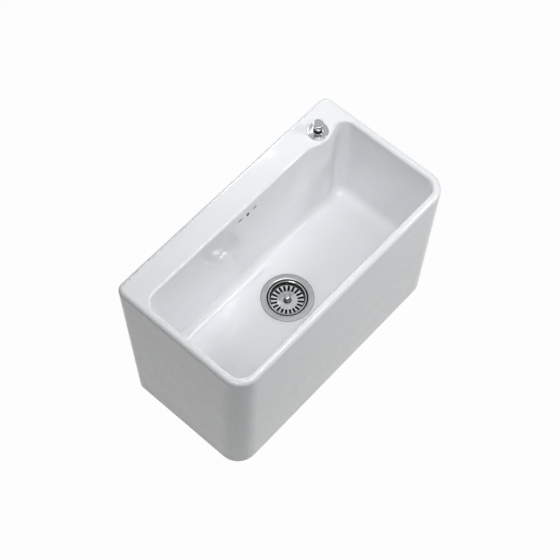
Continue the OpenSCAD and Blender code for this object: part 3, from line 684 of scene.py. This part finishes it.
# Basket: a lift-out cup pressed from stainless sheet, with a rolled rim and a ring of radial
# slots. A turned handle is riveted to its middle, and a rubber seal is bolted on below.
SLOTS, SLOT_WIDTH, SLOT_FROM, SLOT_TO = 20, 0.005, 0.0243, 0.0332
BASKET_PLATE, BASKET_PLATE_HEIGHT, BASKET_RIM, HANDLE_NECK = 0.0352, 0.1445, 0.1564, 0.1545
bm = bmesh.new()
turned(bm, millimetres(
    (0, 145.2), (20.6, 145.2), (21.4, 144.9), (35, 144.9), (36.4, 145.5), (37.4, 147), (38.1, 155.8),
    (38.4, 157), (39.3, 157.6), (40.5, 157.5), (41.2, 156.8), (40.8, 156.1), (39.6, 155.6), (38.2, 147),
    (37, 145), (35.3, 144.3), (6, 144.3), (6, 128), (0, 128)), DRAIN, 140)
# painted shade: the cup's wall between the slotted plate and the rim is coloured dark steel
for face in bm.faces:
    spot = face.calc_center_median()
    face.material_index = 1 if spot.z < BASKET_RIM and (spot - DRAIN).xy.length > BASKET_PLATE else 0
basket = as_object(bm, "basket_plate")
bm = bmesh.new()
for turn in range(SLOTS):
    made = rod(bm, SLOT_WIDTH / 2, Vector(), 0.006, 16)
    for vert in made:
        vert.co.x += SLOT_TO if vert.co.x > 1e-6 else SLOT_FROM
    bmesh.ops.rotate(bm, verts=made, cent=(0, 0, 0),
                     matrix=Matrix.Rotation(turn * 2 * math.pi / SLOTS, 3, "Z"))
    bmesh.ops.translate(bm, verts=made, vec=DRAIN + Vector((0, 0, BASKET_PLATE_HEIGHT)))
cut_away(basket, bm, "slots")
polished = surface("polished_steel", (0.44, 0.44, 0.445), (0.56, 0.56, 0.56), 420, (0.08, 0.14),
                   metallic=1, relief=(0.03, 0.0001))
drawn_steel = surface("drawn_steel", (0.07, 0.07, 0.07), (0.16, 0.16, 0.16), 300, (0.3, 0.45),
                      metallic=1, relief=(0.1, 0.0002), stretch=(1, 1, 3))
basket.data.materials[0], basket.data.materials[1] = polished, drawn_steel
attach(basket, "basket")
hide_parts("basket_cup")

bm = bmesh.new()
turned(bm, millimetres(
    (0, 145), (9, 145), (9, 145.8), (7.8, 146.2), (7.5, 149.4), (6.8, 150.6), (4.6, 151.3), (4, 152.2),
    (4, 154.6), (4.8, 155.5), (5.8, 156.5), (6.3, 158), (6.2, 159.6), (5.4, 161), (4, 161.8), (2, 162),
    (0, 162)), DRAIN, 64)
# painted shade: the handle's foot below the neck is coloured dark steel, for the shade under the head
for face in bm.faces:
    face.material_index = 1 if face.calc_center_median().z < HANDLE_NECK else 0
handle = as_object(bm, "basket_handle")
handle.data.materials.append(polished)
handle.data.materials.append(drawn_steel)
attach(handle, "basket")
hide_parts("basket_knob")


# Rocker and cable ends: the shaft that lifts the pin, and the ferrules with their lock nuts
# that hold both ends of the cable casing. All are nickel-plated steel.
plated = surface("nickel_plate", (0.40, 0.395, 0.385), (0.50, 0.495, 0.485), 400, (0.22, 0.34),
                 metallic=1, relief=(0.06, 0.0001))
dress(plated, "cable_ferrule", "sleeve_ferrule", "rocker")


# Control cable: black plastic casing over a coiled steel liner. It runs from the knob's
# sleeve down behind the bowl and under it to the ferrule beside the drain body.
CABLE_RADIUS = 0.0025
ferrule_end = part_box("cable_ferrule")[1].x
crank = (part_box("cable_ferrule")[0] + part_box("cable_ferrule")[1]) / 2
top_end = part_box("sleeve_ferrule")[0].z
cable_route = [
    (KNOB.x, KNOB.y, top_end), (KNOB.x, KNOB.y, 0.305), (0.230, 0.118, 0.270), (0.230, 0.122, 0.220),
    (0.228, 0.120, 0.170), (0.215, 0.112, 0.120), (0.185, 0.090, 0.085), (0.145, 0.060, 0.066),
    (0.100, 0.041, crank.z), (0.070, crank.y, crank.z), (ferrule_end, crank.y, crank.z)]
line = bpy.data.curves.new("control_cable_casing", "CURVE")
line.dimensions = "3D"
line.bevel_depth, line.bevel_resolution, line.use_fill_caps = CABLE_RADIUS, 5, True
path = line.splines.new("BEZIER")
path.bezier_points.add(len(cable_route) - 1)
path.resolution_u = 12
for spot, place in zip(path.bezier_points, cable_route):
    spot.co = place
    spot.handle_left_type = spot.handle_right_type = "AUTO"
cable = bpy.data.objects.new("control_cable_casing", line)
bpy.context.scene.collection.objects.link(cable)
casing = surface("cable_casing", (0.022, 0.022, 0.024), (0.04, 0.04, 0.042), 350, (0.32, 0.45),
                 relief=(0.1, 0.0002))
finish(cable, casing)
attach(cable, "sink")
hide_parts("control_cable")


# Knob sleeve and back nut: a threaded, blackened brass sleeve with a plain brass nut, clamped
# through the deck on a rubber washer.
brass = surface("turned_brass", (0.60, 0.42, 0.17), (0.74, 0.54, 0.24), 260, (0.2, 0.34), metallic=1,
                relief=(0.08, 0.0001), stretch=(1, 1, 6))
dress(brass, "knob_backnut")
blackened = surface("blackened_brass", (0.02, 0.02, 0.02), (0.045, 0.045, 0.044), 400, (0.35, 0.5),
                    metallic=1, relief=(0.06, 0.0001))
dress(blackened, "knob_sleeve")


# Pull knob: chromed brass. The cap is screwed to the stem, which slides in the sleeve; the
# domed cover plate round it lies on the deck and hides the hole.
bm = bmesh.new()
turned(bm, millimetres(
    (0, 433.7), (9.2, 433.95), (10.2, 433.8), (10.9, 433.3), (11.2, 432.4), (11.2, 422.7), (10.9, 421.9),
    (10.2, 421.5), (0, 421.5)), KNOB, 96)
knob_cap = as_object(bm, "knob_button")
bm = bmesh.new()
turned(bm, millimetres((0, 377), (6, 377), (6.5, 377.5), (6.5, 421), (6.1, 421.4), (0, 421.4)), KNOB, 64)
knob_stem = as_object(bm, "knob_rod")
bm = bmesh.new()
turned(bm, millimetres(
    (9.1, 405.8), (21.5, 405.8), (22, 406), (22.2, 406.5), (22.1, 407), (21.8, 407.4), (21.3, 407.65),
    (20.6, 407.75), (20, 407.8), (12.4, 408.35), (11.8, 408.45), (11.2, 408.8), (10.7, 408.9),
    (10.1, 408.7), (9.8, 408.2), (9.8, 407.2), (9.1, 407.2)), KNOB, 128)
cover = as_object(bm, "cover_plate")
chrome = surface("chrome", (0.40, 0.40, 0.41), (0.45, 0.45, 0.46), 240, (0.1, 0.16), metallic=1,
                 relief=(0.02, 0.0001))
for piece, node, body in ((knob_cap, "knob_cap", "knob"), (knob_stem, "knob_stem", "knob"),
                          (cover, "escutcheon", "sink")):
    finish(piece, chrome)
    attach(piece, body)
    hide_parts(node)
